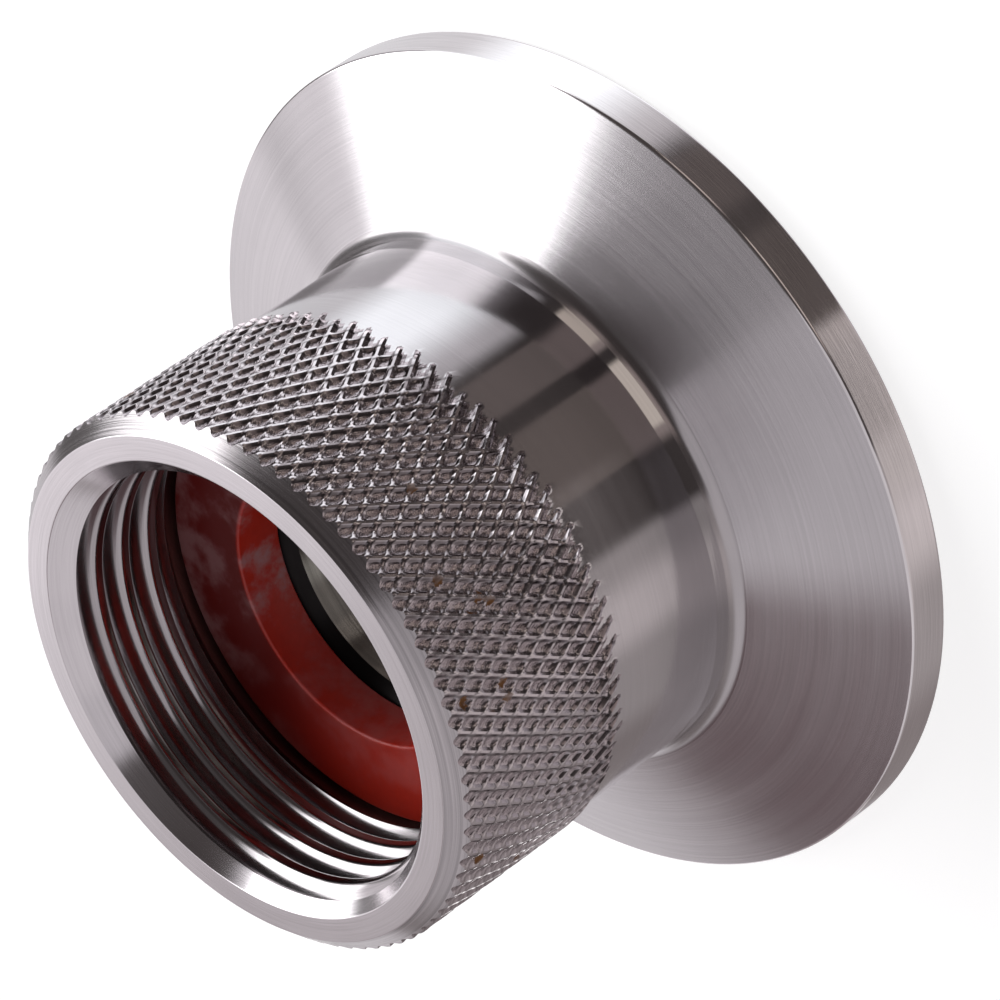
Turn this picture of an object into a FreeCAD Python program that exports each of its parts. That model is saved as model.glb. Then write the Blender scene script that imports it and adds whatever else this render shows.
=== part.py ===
import FreeCAD, Part
import math
import os
import Sketcher

# Sanitary clamp to female hose thread adapter, turned from one stainless bar, with its flat hose washer.
# It stands on the flange's sealing face. The origin is the centre of that face and +Z points to the hose end.

# Driving dimensions in millimetres and degrees
SIZES = {
    "overall_length": 28.6,
    "flange_diameter": 50.5,
    "rim_thickness": 2.6,
    "rim_edge_radius": 0.2,
    "bevel_angle": 22.0,
    "root_radius": 2.0,
    "neck_diameter": 31.8,
    "collar_diameter": 32.4,
    "collar_length": 12.1,
    "collar_chamfer": 1.0,
    "knurl_count": 88,
    "knurl_angle": 30.0,
    "knurl_depth": 0.3,
    "mouth_diameter": 27.5,
    "thread_crest_diameter": 25.2,
    "thread_depth": 7.8,
    "relief_diameter": 27.2,
    "seat_depth": 12.4,
    "bore_diameter": 16.0,
    "bore_chamfer": 0.8,
    "groove_diameter": 43.6,
    "groove_radius": 1.75,
    "groove_depth": 1.3,
    "washer_diameter": 26.6,
    "washer_bore_diameter": 16.8,
    "washer_thickness": 3.1,
}

# Two lengths or volumes closer than this are the same
TOLERANCE = 1e-6
# How near the corners of neighbouring knurl facets lie to be one corner
FACET_TOLERANCE = 0.001

doc = FreeCAD.newDocument("HoseAdapter")
sheet = doc.addObject("Spreadsheet::Sheet", "Dimensions")


def fill_sheet():
    """Write the driving dimensions into the document's sheet, one alias to a row."""
    for row, (alias, size) in enumerate(SIZES.items(), start=1):
        sheet.set("A%d" % row, alias)
        sheet.set("B%d" % row, str(size))
        sheet.setAlias("B%d" % row, alias)
    doc.recompute()


def size(alias):
    return float(sheet.get(alias))


def new_body(name):
    body = doc.addObject("PartDesign::Body", name)
    body.Label = name
    return body


def section_sketch(body, name):
    """Empty sketch on the body's XZ plane: sketch X is the radius and sketch Y the height."""
    sketch = body.newObject("Sketcher::SketchObject", name)
    plane = next(item for item in body.Origin.OriginFeatures if item.Role == "XZ_Plane")
    sketch.AttachmentSupport = [(plane, "")]
    sketch.MapMode = "FlatFace"
    return sketch


def bind(sketch, constraint, expression):
    """Add a dimension to the sketch and tie it to an expression on the sheet."""
    index = sketch.addConstraint(constraint)
    sketch.setExpression("Constraints[%d]" % index, expression)


def draw_outline(sketch, corners):
    """Closed outline through corners, each given as expressions for its diameter and its height.

    A corner without a diameter lies on the axis, and one without a height on the base plane.
    """
    count = len(corners)
    # Until they are bound, the corners stand apart from each other in any places
    starts = [FreeCAD.Vector(count + place, place * place, 0) for place in range(count)]
    for place in range(count):
        sketch.addGeometry(Part.LineSegment(starts[place], starts[(place + 1) % count]), False)
    for place in range(count):
        sketch.addConstraint(Sketcher.Constraint("Coincident", place, 2, (place + 1) % count, 1))
    for place, (diameter, height) in enumerate(corners):
        if diameter is None:
            sketch.addConstraint(Sketcher.Constraint("PointOnObject", place, 1, -2))
        else:
            radius = Sketcher.Constraint("DistanceX", -1, 1, place, 1, starts[place].x)
            bind(sketch, radius, diameter + " / 2")
        if height is None:
            sketch.addConstraint(Sketcher.Constraint("PointOnObject", place, 1, -1))
        else:
            bind(sketch, Sketcher.Constraint("DistanceY", -1, 1, place, 1, starts[place].y), height)


def turn(body, kind, name, sketch):
    """Revolution or groove of a section sketch, a full turn about the body's Z axis."""
    feature = body.newObject("PartDesign::" + kind, name)
    feature.Profile = sketch
    feature.ReferenceAxis = (sketch, ["V_Axis"])
    feature.Angle = 360
    sketch.Visibility = False
    doc.recompute()
    return feature


def ring_edges(feature, diameter_alias):
    """Names of the circular edges about Z with the diameter of that name, the lowest first."""
    radius = size(diameter_alias) / 2
    rings = []
    for number, edge in enumerate(feature.Shape.Edges, start=1):
        if isinstance(edge.Curve, Part.Circle) and abs(edge.Curve.Radius - radius) < TOLERANCE:
            rings.append((edge.Curve.Center.z, "Edge%d" % number))
    return [name for height, name in sorted(rings)]


def round_edges(body, name, base, edge_names, radius_alias):
    fillet = body.newObject("PartDesign::Fillet", name)
    fillet.Base = (base, edge_names)
    fillet.setExpression("Radius", "Dimensions." + radius_alias)
    doc.recompute()
    return fillet


def add_blank(body):
    """Outside of the fitting: flange, bevel, neck and collar, turned as one solid.

    The collar is turned half a knurl's depth too large all round, and the knurl takes that off.
    """
    sketch = section_sketch(body, "blank_section")
    draw_outline(sketch, [
        (None, None),
        ("Dimensions.flange_diameter", None),
        ("Dimensions.flange_diameter", "Dimensions.rim_thickness"),
        ("Dimensions.neck_diameter", "Dimensions.rim_thickness + tan(Dimensions.bevel_angle)"
         " * (Dimensions.flange_diameter - Dimensions.neck_diameter) / 2"),
        ("Dimensions.neck_diameter", "Dimensions.overall_length - Dimensions.collar_length"),
        ("(Dimensions.collar_diameter + Dimensions.knurl_depth)",
         "Dimensions.overall_length - Dimensions.collar_length"),
        ("(Dimensions.collar_diameter + Dimensions.knurl_depth)",
         "Dimensions.overall_length - Dimensions.collar_chamfer - Dimensions.knurl_depth / 2"),
        ("(Dimensions.collar_diameter - 2 * Dimensions.collar_chamfer)", "Dimensions.overall_length"),
        (None, "Dimensions.overall_length"),
    ])
    blank = turn(body, "Revolution", "turned_blank", sketch)
    root = ring_edges(blank, "neck_diameter")[:1]
    rounded = round_edges(body, "root_fillet", blank, root, "root_radius")
    return round_edges(body, "rim_edges", rounded, ring_edges(rounded, "flange_diameter"), "rim_edge_radius")


def add_hose_socket(body):
    """Socket of the hose end and the through bore: countersunk mouth, thread, relief, seat and bore."""
    sketch = section_sketch(body, "socket_section")
    draw_outline(sketch, [
        (None, "Dimensions.overall_length"),
        ("Dimensions.mouth_diameter", "Dimensions.overall_length"),
        ("Dimensions.thread_crest_diameter", "Dimensions.overall_length"
         " - (Dimensions.mouth_diameter - Dimensions.thread_crest_diameter) / 2"),
        ("Dimensions.thread_crest_diameter", "Dimensions.overall_length - Dimensions.thread_depth"),
        ("Dimensions.relief_diameter", "Dimensions.overall_length - Dimensions.thread_depth"
         " - (Dimensions.relief_diameter - Dimensions.thread_crest_diameter) / 2"),
        ("Dimensions.relief_diameter", "Dimensions.overall_length - Dimensions.seat_depth"),
        ("(Dimensions.bore_diameter + 2 * Dimensions.bore_chamfer)",
         "Dimensions.overall_length - Dimensions.seat_depth"),
        ("Dimensions.bore_diameter",
         "Dimensions.overall_length - Dimensions.seat_depth - Dimensions.bore_chamfer"),
        ("Dimensions.bore_diameter", None),
        (None, None),
    ])
    return turn(body, "Groove", "hose_socket", sketch)


def add_gasket_groove(body):
    """Round-bottomed gasket groove in the sealing face, cut by a circle centred below the face."""
    sketch = section_sketch(body, "groove_section")
    radius = size("groove_radius")
    centre = FreeCAD.Vector(size("groove_diameter") / 2, size("groove_depth") - radius, 0)
    circle = sketch.addGeometry(Part.Circle(centre, FreeCAD.Vector(0, 0, 1), radius), False)
    bind(sketch, Sketcher.Constraint("DistanceX", -1, 1, circle, 3, centre.x),
         "Dimensions.groove_diameter / 2")
    bind(sketch, Sketcher.Constraint("DistanceY", circle, 3, -1, 1, -centre.y),
         "Dimensions.groove_radius - Dimensions.groove_depth")
    bind(sketch, Sketcher.Constraint("Radius", circle, radius), "Dimensions.groove_radius")
    return turn(body, "Groove", "gasket_groove", sketch)


def knurl_lattice():
    """Columns round the collar, rows up it and the height of one row.

    The lattice has two columns to each ridge and two rows to each diamond.
    """
    columns = 2 * int(size("knurl_count"))
    rise = math.pi * size("collar_diameter") / columns / math.tan(math.radians(size("knurl_angle")))
    return columns, math.ceil(size("collar_length") / rise), rise


def knurl_skin():
    """Diamond knurl as a closed solid: crossing ridges with a four-sided pit in each diamond between them.

    Ridges cross at the even nodes of the lattice, on the collar's diameter. The odd nodes are the pits'
    deepest points, each with four facets round it.
    """
    columns, rows, rise = knurl_lattice()
    crest = size("collar_diameter") / 2
    depth = size("knurl_depth")

    def number(column, row):
        return row * columns + column % columns

    nodes = []
    facets = []
    for row in range(rows + 1):
        for column in range(columns):
            pit = (column + row) % 2
            radius = crest - pit * depth
            bearing = 2 * math.pi * column / columns
            nodes.append(FreeCAD.Vector(radius * math.cos(bearing), radius * math.sin(bearing), row * rise))
            here, left, right = number(column, row), number(column - 1, row), number(column + 1, row)
            if pit and row < rows:
                facets += [(here, right, number(column, row + 1)), (here, number(column, row + 1), left)]
            if pit and row > 0:
                facets += [(here, left, number(column, row - 1)), (here, number(column, row - 1), right)]
    side = Part.Shape()
    side.makeShapeFromMesh((nodes, facets), FACET_TOLERANCE)
    rims = [nodes[:columns], nodes[-columns:]]
    ends = [Part.Face(Part.makePolygon(rim + rim[:1])) for rim in rims]
    skin = Part.makeCompound(side.Faces + ends)
    skin.sewShape()
    return Part.Solid(skin.Shells[0])


def make_knurl_cutter():
    """Ring round the collar whose inside is the knurl, so that cutting with it leaves the knurled collar."""
    columns, rows, rise = knurl_lattice()
    core = doc.addObject("Part::Feature", "knurl_core")
    core.Shape = knurl_skin()
    tube = doc.addObject("Part::Cylinder", "knurl_tube")
    tube.setExpression("Radius", "Dimensions.collar_diameter / 2 + Dimensions.knurl_depth")
    tube.Height = rows * rise
    for item in (core, tube):
        item.setExpression("Placement.Base.z", "Dimensions.overall_length - Dimensions.collar_length")
    cutter = doc.addObject("Part::Cut", "knurl_cutter")
    cutter.Base = tube
    cutter.Tool = core
    cutter.Refine = False
    return cutter


def make_fitting():
    """The metal body: clamp flange, neck, knurled collar, threaded socket and bore in one piece."""
    body = new_body("fitting_blank")
    blank = add_blank(body)
    socket = add_hose_socket(body)
    groove = add_gasket_groove(body)
    knurled = doc.addObject("Part::Cut", "fitting_body")
    knurled.Label = "fitting_body"
    knurled.Base = body
    knurled.Refine = False
    knurled.Tool = make_knurl_cutter()
    doc.recompute()
    check_cut(blank, socket)
    check_cut(socket, groove)
    check_cut(groove, knurled)
    return knurled


def make_washer():
    """Flat hose washer, lying on the seat at the bottom of the socket."""
    body = new_body("hose_washer")
    sketch = section_sketch(body, "washer_section")
    draw_outline(sketch, [
        ("Dimensions.washer_bore_diameter", None),
        ("Dimensions.washer_diameter", None),
        ("Dimensions.washer_diameter", "Dimensions.washer_thickness"),
        ("Dimensions.washer_bore_diameter", "Dimensions.washer_thickness"),
    ])
    turn(body, "Revolution", "washer_ring", sketch)
    body.setExpression("Placement.Base.z", "Dimensions.overall_length - Dimensions.seat_depth")
    doc.recompute()
    return body


def check_cut(before, after):
    if after.Shape.Volume > before.Shape.Volume - TOLERANCE:
        raise RuntimeError(after.Name + " removes nothing")


def check_document(pieces):
    """Stop if any object failed or any finished shape is missing or invalid."""
    for item in doc.Objects:
        if "Invalid" in item.State or "Error" in item.State:
            raise RuntimeError("failed object " + item.Name)
    for piece in pieces:
        if piece.Shape.isNull() or not piece.Shape.isValid():
            raise RuntimeError("bad shape in " + piece.Label)


fill_sheet()
pieces = [make_fitting(), make_washer()]
doc.recompute()
check_document(pieces)
os.makedirs("parts", exist_ok=True)
for piece in pieces:
    piece.Shape.exportStep("parts/" + piece.Label + ".step")
    print(piece.Label, "volume %.1f mm3" % piece.Shape.Volume, "solids", len(piece.Shape.Solids),
          "faces", len(piece.Shape.Faces))
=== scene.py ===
import math
import random

import bmesh
import bpy
from mathutils import Matrix, Vector


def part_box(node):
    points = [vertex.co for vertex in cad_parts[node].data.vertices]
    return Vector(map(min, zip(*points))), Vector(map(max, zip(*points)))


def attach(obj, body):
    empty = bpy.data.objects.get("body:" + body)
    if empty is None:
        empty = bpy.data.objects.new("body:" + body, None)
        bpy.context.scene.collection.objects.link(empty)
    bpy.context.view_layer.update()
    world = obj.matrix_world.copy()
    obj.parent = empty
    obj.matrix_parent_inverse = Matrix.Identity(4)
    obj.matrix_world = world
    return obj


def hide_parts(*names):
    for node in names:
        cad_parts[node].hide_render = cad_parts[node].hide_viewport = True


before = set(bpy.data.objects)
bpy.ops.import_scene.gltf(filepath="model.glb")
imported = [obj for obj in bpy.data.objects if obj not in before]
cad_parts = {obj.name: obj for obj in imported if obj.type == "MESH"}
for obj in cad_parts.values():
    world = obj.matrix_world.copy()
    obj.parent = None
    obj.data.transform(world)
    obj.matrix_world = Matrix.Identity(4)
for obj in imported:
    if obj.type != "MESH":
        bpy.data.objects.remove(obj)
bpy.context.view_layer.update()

MM = 0.001
body_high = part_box("fitting_body")[1]
washer_low, washer_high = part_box("hose_washer")

# Outer sizes, in millimetres, from the frame
LENGTH = round(body_high.z / MM, 2)
RIM_R = round(body_high.x / MM, 2)
WASHER_FOOT = round(washer_low.z / MM, 2)
WASHER_TOP = round(washer_high.z / MM, 2)
WASHER_R = round(washer_high.x / MM, 2)

# Flange and neck. The neck flares a little, by an angle in degrees, where it meets the root's fillet.
RIM_T = 2.6
RIM_EDGE = 0.2
BEVEL_ANGLE = 22.0
ROOT_R = 1.0
NECK_R = 15.9
FLARE = 7.0
FLARE_HEIGHT = 0.8
GROOVE_MIDDLE = 21.8
GROOVE_R = 1.75
GROOVE_DEPTH = 1.3

# Collar and its diamond knurl, which runs out over the neck in spikes
COLLAR_R = 16.2
KNURL_LENGTH = 12.1
KNURL_FOOT = LENGTH - KNURL_LENGTH
KNURL_COUNT = 88
KNURL_ANGLE = 30.0
KNURL_DEPTH = COLLAR_R - NECK_R
KNURL_RISE = math.pi * COLLAR_R / KNURL_COUNT / math.tan(math.radians(KNURL_ANGLE))
KNURL_ROWS = 17
KNURL_FIRST_ROW = -4
KNURL_SEED = 7.0
SPIKE_REACH = 1.2
KNURL_START = KNURL_FOOT - SPIKE_REACH
CHAMFER = 1.0
CHAMFER_SUM = LENGTH + COLLAR_R - CHAMFER
KNURL_TOP = LENGTH - 0.4
EDGE_BREAK = 0.07
# A ridge's height at distances from its middle, as shares of the whole height and of a pit's width
RIDGE_SECTION = ((0.07, 1.0), (0.18, 0.52), (0.3, 0.14), (0.5, 0.0))

# Socket, thread and bore. The rounding is how softly the thread's flanks pass into its crests and roots.
MOUTH_R = 13.75
THREAD_PITCH = 2.025
THREAD_CREST_R = 12.6
THREAD_CREST_WIDTH = 0.34 * THREAD_PITCH
THREAD_DEPTH = 1.05
THREAD_FLANK = 60.0
CREST_ROUNDING = 0.4
ROOT_ROUNDING = 0.45
THREAD_ROWS = 20
THREAD_TURNS = 6
THREAD_CREST_HEIGHT = 18.99
THREAD_TOP = LENGTH - 0.2
RELIEF_R = 13.6
RELIEF_TOP = 19.8
THREAD_FOOT = RELIEF_TOP + 0.05
SEAT = 16.2
WASHER_BORE_R = 8.4
WASHER_EDGE = 0.16
BORE_R = 8.0
BORE_CHAMFER = 0.8

# Points round a turned ring, the distance of the rings that hold a flat stretch flat from its ends, the gap
# that is left for joining the neck to the knurl, and the difference in millimetres that counts as none
AROUND = 176
HOLD = 0.04
NECK_JOIN = 0.5
SMALL = 1e-4
# Faces that meet at more than this angle, in degrees, meet at a sharp edge
SHARP_ANGLE = 30
# Places of the colour sockets in a Mix node
COLOUR_A, COLOUR_B, COLOUR_MIXED = 6, 7, 2


# Nodes

def wire(tree, value, socket):
    """Feeds a socket from another socket, or gives it a value of its own."""
    if isinstance(value, bpy.types.NodeSocket):
        tree.links.new(value, socket)
    else:
        socket.default_value = value


def calc(tree, operation, *values):
    """One step of arithmetic."""
    node = tree.nodes.new("ShaderNodeMath")
    node.operation = operation
    for socket, value in zip(node.inputs, values):
        wire(tree, value, socket)
    return node.outputs["Value"]


def blend_colour(tree, share, first, second, how="MIX"):
    """A colour between two others, or one laid over the other in another way."""
    node = tree.nodes.new("ShaderNodeMix")
    node.data_type = "RGBA"
    node.blend_type = how
    wire(tree, share, node.inputs["Factor"])
    wire(tree, first, node.inputs[COLOUR_A])
    wire(tree, second, node.inputs[COLOUR_B])
    return node.outputs[COLOUR_MIXED]


def spread(tree, value, low, high, new_low, new_high, smooth=False):
    """Carries a value from one range to another."""
    node = tree.nodes.new("ShaderNodeMapRange")
    node.interpolation_type = "SMOOTHSTEP" if smooth else "LINEAR"
    for socket, given in zip(node.inputs, (value, low, high, new_low, new_high)):
        wire(tree, given, socket)
    return node.outputs["Result"]


def vector(tree, x, y, z):
    """A vector from three numbers."""
    node = tree.nodes.new("ShaderNodeCombineXYZ")
    for socket, value in zip(node.inputs, (x, y, z)):
        wire(tree, value, socket)
    return node.outputs["Vector"]


def parts_of(tree, source):
    """The three numbers of a vector."""
    node = tree.nodes.new("ShaderNodeSeparateXYZ")
    wire(tree, source, node.inputs[0])
    return node.outputs["X"], node.outputs["Y"], node.outputs["Z"]


def from_axis(tree, x, y):
    """The distance of a place from the part's axis."""
    return calc(tree, "SQRT", calc(tree, "ADD", calc(tree, "MULTIPLY", x, x), calc(tree, "MULTIPLY", y, y)))


def opaque(colour):
    """A colour with its fourth number, as a colour socket takes it."""
    return (*colour, 1.0)


def noise(tree, place, scale, detail=2.0, w=None, roughness=0.5):
    """Noise in three dimensions, or in four where w is given."""
    node = tree.nodes.new("ShaderNodeTexNoise")
    node.noise_dimensions = "3D" if w is None else "4D"
    wire(tree, place, node.inputs["Vector"])
    wire(tree, scale, node.inputs["Scale"])
    wire(tree, detail, node.inputs["Detail"])
    wire(tree, roughness, node.inputs["Roughness"])
    if w is not None:
        wire(tree, w, node.inputs["W"])
    return node.outputs["Fac"]


def object_place(tree):
    """The place on the piece."""
    return tree.nodes.new("ShaderNodeTexCoord").outputs["Object"]


def attribute(tree, name):
    """A value kept with the piece's points."""
    node = tree.nodes.new("ShaderNodeAttribute")
    node.attribute_name = name
    return node.outputs["Fac"]


def raise_surface(tree, shader, height, strength, distance):
    """Feeds the shader's normal from a height, whose full range is a distance in millimetres."""
    bump = tree.nodes.new("ShaderNodeBump")
    bump.inputs["Strength"].default_value = strength
    bump.inputs["Distance"].default_value = distance * MM
    tree.links.new(height, bump.inputs["Height"])
    tree.links.new(bump.outputs["Normal"], shader.inputs["Normal"])


def new_group(name, inputs, outputs, kind="ShaderNodeTree"):
    """A node group with named inputs and outputs."""
    group = bpy.data.node_groups.new(name, kind)
    for label, socket_type, value in inputs:
        socket = group.interface.new_socket(label, in_out="INPUT", socket_type=socket_type)
        if value is not None:
            socket.default_value = value
    for label, socket_type in outputs:
        group.interface.new_socket(label, in_out="OUTPUT", socket_type=socket_type)
    return group, group.nodes.new("NodeGroupInput"), group.nodes.new("NodeGroupOutput")


def place_group(tree, group, label, **values):
    """One use of a node group, with its own values."""
    node = tree.nodes.new("ShaderNodeGroup")
    node.node_tree = group
    node.label = label
    for name, value in values.items():
        wire(tree, value, node.inputs[name.replace("_", " ")])
    return node.outputs


# Finishes

BAND_SCALE = 900.0
CLOUD_SCALE = 160.0


def turning_marks_group():
    """Rings left by the lathe tool: uneven lines that run round the axis, broad bands and soft clouds."""
    group, given, result = new_group(
        "turning_marks",
        [("Line Spacing", "NodeSocketFloat", 0.08), ("Line Length", "NodeSocketFloat", 3.0)],
        [("Lines", "NodeSocketFloat"), ("Bands", "NodeSocketFloat"), ("Cloud", "NodeSocketFloat")],
    )
    place = object_place(group)
    x, y, z = parts_of(group, place)
    radius = from_axis(group, x, y)
    per_line = calc(group, "DIVIDE", 1 / MM, given.outputs["Line Spacing"])
    along = given.outputs["Line Length"]
    round_x = calc(group, "MULTIPLY", calc(group, "DIVIDE", x, radius), along)
    round_y = calc(group, "MULTIPLY", calc(group, "DIVIDE", y, radius), along)

    def rings(scale, detail, roughness):
        """Noise that is drawn out round the axis."""
        across = calc(group, "MULTIPLY", radius, scale)
        height = calc(group, "MULTIPLY", z, scale)
        return noise(group, vector(group, across, round_x, round_y), 1.0, detail, height, roughness)

    group.links.new(rings(per_line, 3.0, 0.6), result.inputs["Lines"])
    group.links.new(rings(BAND_SCALE, 2.0, 0.5), result.inputs["Bands"])
    group.links.new(noise(group, place, CLOUD_SCALE, 3.0), result.inputs["Cloud"])
    return group


def principled(name):
    """A new material, its node tree and its shader."""
    material = bpy.data.materials.new(name)
    material.use_nodes = True
    return material, material.node_tree, material.node_tree.nodes["Principled BSDF"]


RING_HEIGHT = 0.02
CLOUDED_SHARE = 0.95
# The heights between which the neck's roughness changes and its painted shade fades out
NECK_POLISH_AND_SHADE_FROM_TO = (KNURL_START - 7.0, KNURL_START - 1.5)


def turned_steel(name, marks, colour, roughness, grain, spacing, length=3.0, pull=0.7, contrast=0.1,
                 banding=0.17, polish_and_shade=None):
    """Turned stainless steel. Its gloss is drawn out, by the pull, across the tool's rings.

    Grain is how strongly the rings stand out, and spacing and length are those of their lines in millimetres
    and in waves round the axis. Contrast is how much the lines change the colour, and banding how much the
    roughness changes from one broad ring to the next. Polish and shade is a second roughness, a painted shade
    that darkens the colour at the low end, and the two heights between which the first roughness turns into
    the second and the painted shade fades out.
    """
    material, tree, shader = principled(name)
    used = place_group(tree, marks, name, Line_Spacing=spacing, Line_Length=length)
    shader.inputs["Metallic"].default_value = 1.0
    shader.inputs["Anisotropic"].default_value = pull
    shader.inputs["Anisotropic Rotation"].default_value = 0.25
    tangent = tree.nodes.new("ShaderNodeTangent")
    tangent.direction_type = "RADIAL"
    tangent.axis = "Z"
    tree.links.new(tangent.outputs["Tangent"], shader.inputs["Tangent"])
    worn = spread(tree, used["Lines"], 0.3, 0.7, 1.0 - contrast, 1.0 + contrast)
    clouded = blend_colour(tree, spread(tree, used["Cloud"], 0.35, 0.65, 0.0, 1.0),
                           opaque(colour), opaque(c * CLOUDED_SHARE for c in colour))
    rough = roughness
    if polish_and_shade:
        second, shade, start, end = polish_and_shade
        height = parts_of(tree, object_place(tree))[2]
        rough = spread(tree, height, start * MM, end * MM, roughness, second, True)
        # Painted shade: the colour darkens towards the low end.
        worn = calc(tree, "MULTIPLY", worn, spread(tree, height, start * MM, end * MM, shade, 1.0, True))
    lined = blend_colour(tree, 1.0, clouded, vector(tree, worn, worn, worn), "MULTIPLY")
    tree.links.new(lined, shader.inputs["Base Color"])
    uneven = spread(tree, used["Bands"], 0.3, 0.7, 1.0 - banding, 1.0 + banding)
    tree.links.new(calc(tree, "MULTIPLY", uneven, rough), shader.inputs["Roughness"])
    raise_surface(tree, shader, used["Lines"], grain, RING_HEIGHT)
    return material


# Rust specks that show from the front, as bearings in degrees and heights in millimetres. A speck is solid
# rust up to its inner radius and fades out to its outer one, and both are ragged.
FRONT_SPECKS = ((12.1, 22.6), (-4.7, 24.7), (-12.9, 22.5), (-11.4, 23.0), (-27.9, 23.7), (-26.6, 26.5),
                (-30.8, 23.7))
OTHER_SPECKS = 12
SPECK_SEED = 11
SPECK_INNER = 0.24
SPECK_OUTER = 0.36
SPECK_RAGGED = 0.14


def rust_mask(tree, place):
    """Small rust specks in the pits: those of the front, and a few more round the back."""
    pick = random.Random(SPECK_SEED)
    specks = list(FRONT_SPECKS)
    specks += [(pick.uniform(60, 300), pick.uniform(KNURL_FOOT + 1, LENGTH - 2)) for _ in range(OTHER_SPECKS)]
    ragged = spread(tree, noise(tree, place, 5200.0, 2.0), 0.3, 0.7, -SPECK_RAGGED * MM, SPECK_RAGGED * MM)
    mask = 0.0
    middle = (NECK_R + COLLAR_R) / 2
    for turn, height in specks:
        angle = math.radians(turn)
        spot = Vector((middle * math.sin(angle), -middle * math.cos(angle), height)) * MM
        apart = tree.nodes.new("ShaderNodeVectorMath")
        apart.operation = "DISTANCE"
        wire(tree, place, apart.inputs[0])
        wire(tree, spot, apart.inputs[1])
        away = calc(tree, "ADD", apart.outputs["Value"], ragged)
        speck = spread(tree, away, SPECK_OUTER * MM, SPECK_INNER * MM, 0.0, 1.0, True)
        mask = calc(tree, "MAXIMUM", mask, speck)
    return mask


RIDGE_COLOUR = (0.64, 0.59, 0.61)
PIT_COLOURS = ((0.58, 0.52, 0.54), (0.34, 0.28, 0.30))
# Painted shade along the feet of the ridges: its colour, and how far its lines lie from the ridges' middles.
PAINTED_CREVICE_SHADE = (0.10, 0.085, 0.09)
PAINTED_SHADE_SHIFT = 0.18
RUST_COLOURS = ((0.30, 0.13, 0.03), (0.10, 0.04, 0.015))
RUST_ROUGHNESS = 0.75
SCORE_STRETCH = 6.0
GRIT_SCALE = 4800.0
SCORE_HEIGHT = 0.04


def knurled_steel():
    """Rolled knurl: thin worn ridges, and pits with a scored, glittering floor and a few rust specks.

    Painted shade darkens the colour along the feet of the ridges.
    """
    material, tree, shader = principled("knurled_steel")
    place = object_place(tree)
    x, y, z = parts_of(tree, place)
    turn = calc(tree, "DIVIDE", calc(tree, "ARCTAN2", x, calc(tree, "MULTIPLY", y, -1.0)), 2 * math.pi)
    across = calc(tree, "MULTIPLY", turn, 2.0 * KNURL_COUNT)
    up = calc(tree, "DIVIDE", calc(tree, "SUBTRACT", z, KNURL_FOOT * MM), KNURL_RISE * MM)
    first = calc(tree, "MULTIPLY", calc(tree, "ADD", up, across), 0.5)
    second = calc(tree, "MULTIPLY", calc(tree, "SUBTRACT", up, across), 0.5)
    pit = spread(tree, attribute(tree, "pit"), 0.1, 0.9, 0.0, 1.0)
    scored = vector(tree, calc(tree, "MULTIPLY", first, SCORE_STRETCH), second, 0.0)
    scores = noise(tree, scored, 1.0, 3.0, None, 0.6)
    grit = noise(tree, place, GRIT_SCALE, 2.0, None, 0.6)
    patches = noise(tree, place, 900.0, 2.0)
    rust = calc(tree, "MULTIPLY", rust_mask(tree, place), spread(tree, pit, 0.0, 0.4, 0.5, 1.0))
    floor = blend_colour(tree, patches, *map(opaque, PIT_COLOURS))
    ridged = blend_colour(tree, pit, opaque(RIDGE_COLOUR), floor)

    def painted_ridge_shade(ridge_line, width, strength):
        """Painted shade on one side of a ridge, along its foot."""
        folded = calc(tree, "PINGPONG", calc(tree, "SUBTRACT", ridge_line, PAINTED_SHADE_SHIFT), 0.5)
        return spread(tree, folded, 0.04, width, strength, 0.0)

    # Painted shade beside the long and the cross ridges, laid over the steel's colour.
    shade = calc(tree, "MAXIMUM", painted_ridge_shade(second, 0.14, 1.0), painted_ridge_shade(first, 0.12, 0.7))
    painted_crevice_shade = calc(tree, "MULTIPLY", shade, 0.7)
    steel = blend_colour(tree, painted_crevice_shade, ridged, opaque(PAINTED_CREVICE_SHADE))
    rusty = blend_colour(tree, grit, *map(opaque, RUST_COLOURS))
    tree.links.new(blend_colour(tree, rust, steel, rusty), shader.inputs["Base Color"])
    tree.links.new(calc(tree, "SUBTRACT", 1.0, rust), shader.inputs["Metallic"])
    bare = spread(tree, grit, 0.3, 0.7, 0.1, 0.2)
    roughness = calc(tree, "MAXIMUM", bare, calc(tree, "MULTIPLY", rust, RUST_ROUGHNESS))
    tree.links.new(roughness, shader.inputs["Roughness"])
    relief = calc(tree, "ADD", calc(tree, "MULTIPLY", scores, 1.2), calc(tree, "MULTIPLY", grit, 0.8))
    depth = spread(tree, pit, 0.55, 1.0, 0.05, 1.0)
    raise_surface(tree, shader, calc(tree, "MULTIPLY", relief, depth), 1.0, SCORE_HEIGHT)
    return material


# The rubber's own reds, the colour of the painted shade on its face, and that of the painted sheen.
RUBBER_REDS = ((0.62, 0.030, 0.012), (0.50, 0.022, 0.010))
PAINTED_SHADE_RED = (0.14, 0.010, 0.009)
PAINTED_SHEEN_COLOUR = (0.50, 0.30, 0.31)
# Distances in millimetres: the least and most beyond the hole's edge for the face, and places on the X axis
FACE_EDGE = (0.05, 0.3)
PAINTED_SHADE_FROM_TO = (-11, 1)
PAINTED_SHEEN_FROM_TO = (-1, 4)


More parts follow.
